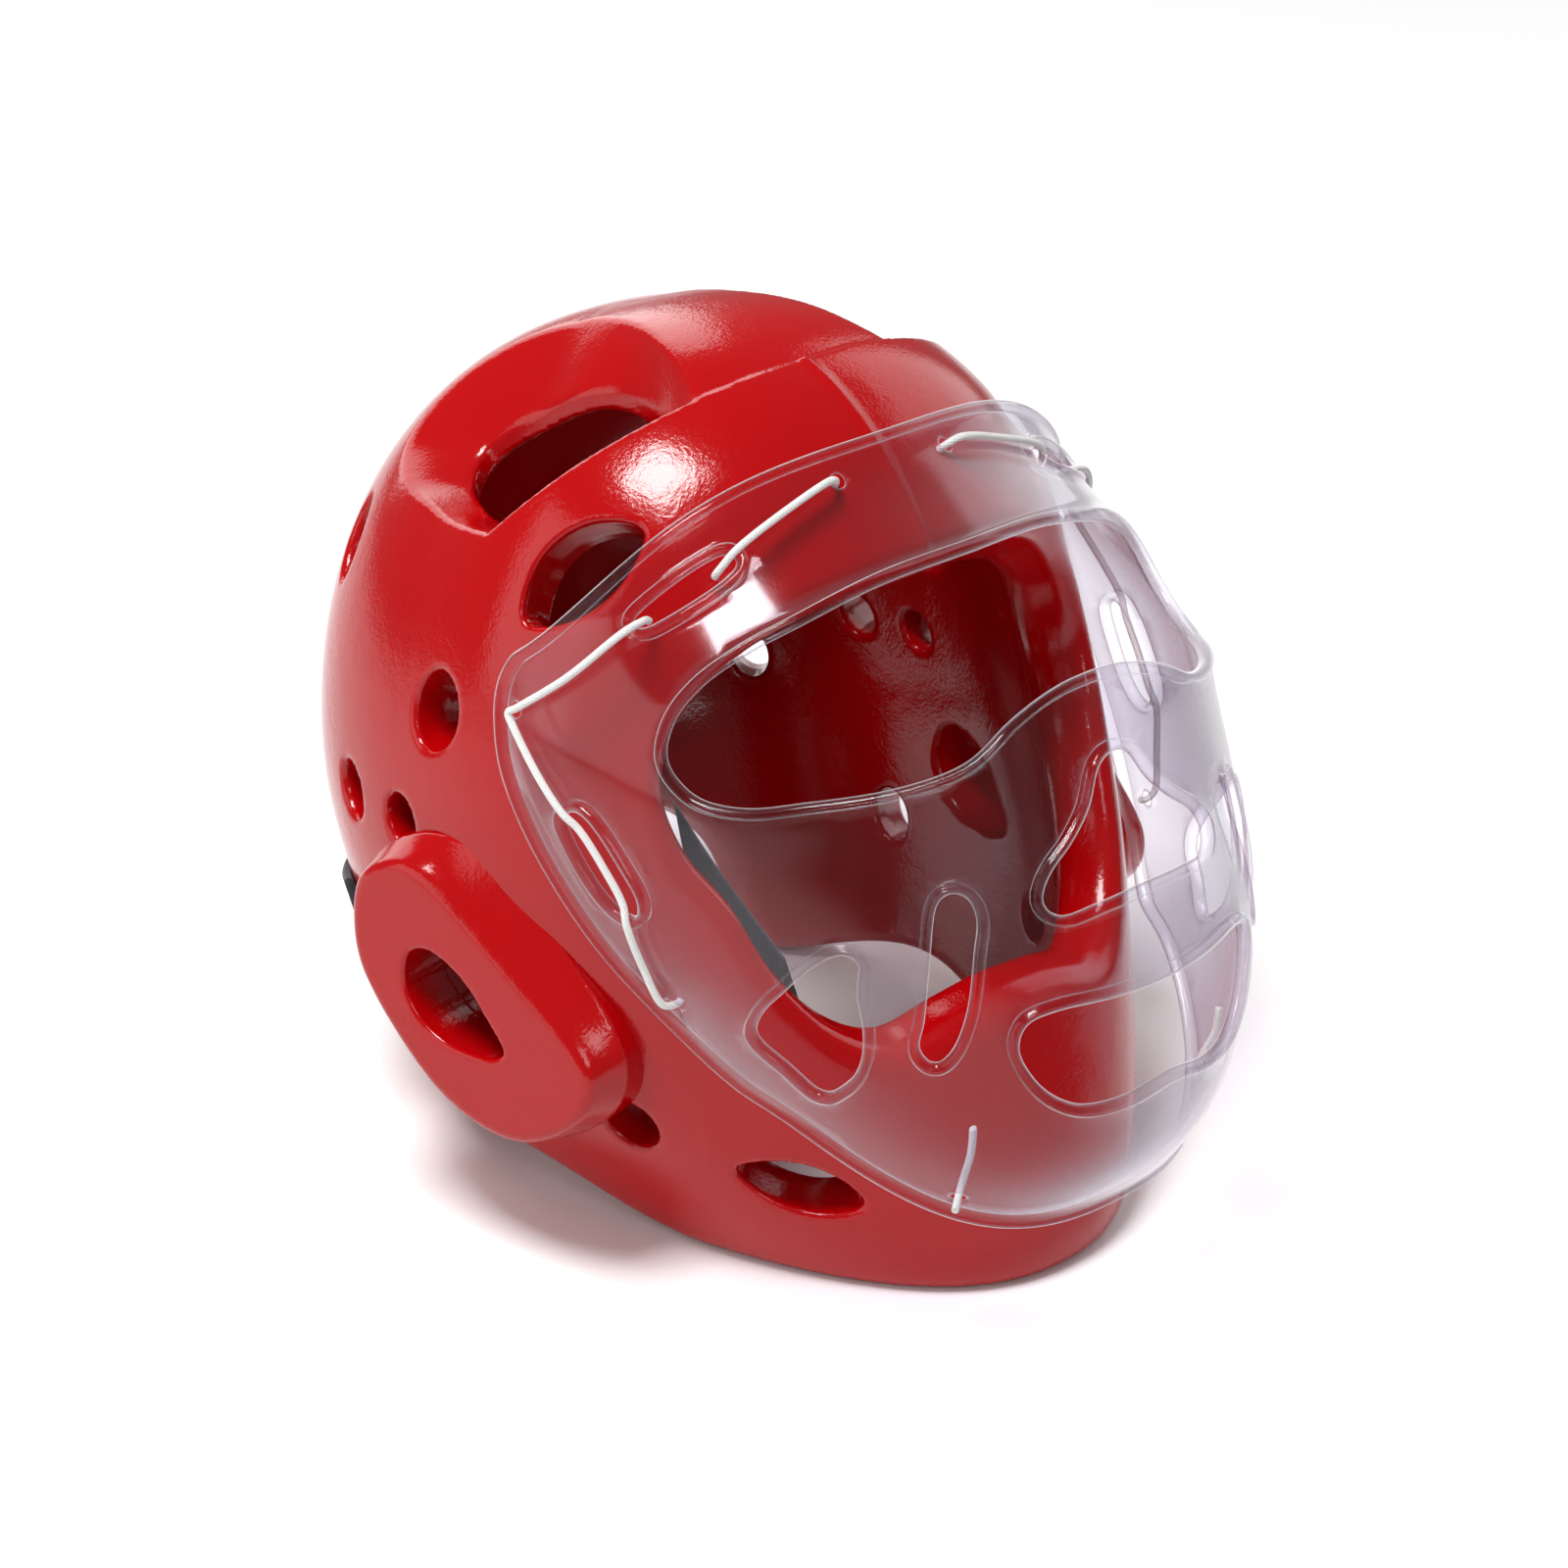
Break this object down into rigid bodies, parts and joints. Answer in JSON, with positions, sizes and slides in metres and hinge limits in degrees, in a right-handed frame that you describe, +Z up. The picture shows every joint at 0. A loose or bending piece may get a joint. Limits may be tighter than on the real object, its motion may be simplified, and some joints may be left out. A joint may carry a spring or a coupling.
{
  "type": "sparring headgear with face shield",
  "caption": "Full-head padded sparring headgear in dipped foam with crown and side vents, raised ear pads and a laced-on clear face shield.",
  "frame": {"origin": "under the middle of the headgear's bounding box, on the surface that it stands on", "axes": "+Z up as it stands, -Y the way that the face opening looks, -X the wearer's right side"},
  "size_m": [0.2456, 0.293, 0.2355],
  "materials": {
    "dipped_foam": "glossy dipped coat with fine orange peel over closed-cell foam",
    "clear_shield": "clear moulded sheet with rounded raised rims",
    "white_elastic": "round braided elastic cord",
    "black_webbing": "woven webbing"
  },
  "bodies": {
    "root": {"foam_shell": "dipped_foam", "ear_pad_right": "dipped_foam", "ear_pad_left": "dipped_foam", "face_shield": "clear_shield", "nape_strap": "black_webbing", "strap_tail": "black_webbing", "brow_lace_right": "white_elastic", "brow_lace_left": "white_elastic", "side_lace_right": "white_elastic", "side_lace_left": "white_elastic", "chin_lace_right": "white_elastic", "chin_lace_left": "white_elastic"}
  },
  "joints": []
}
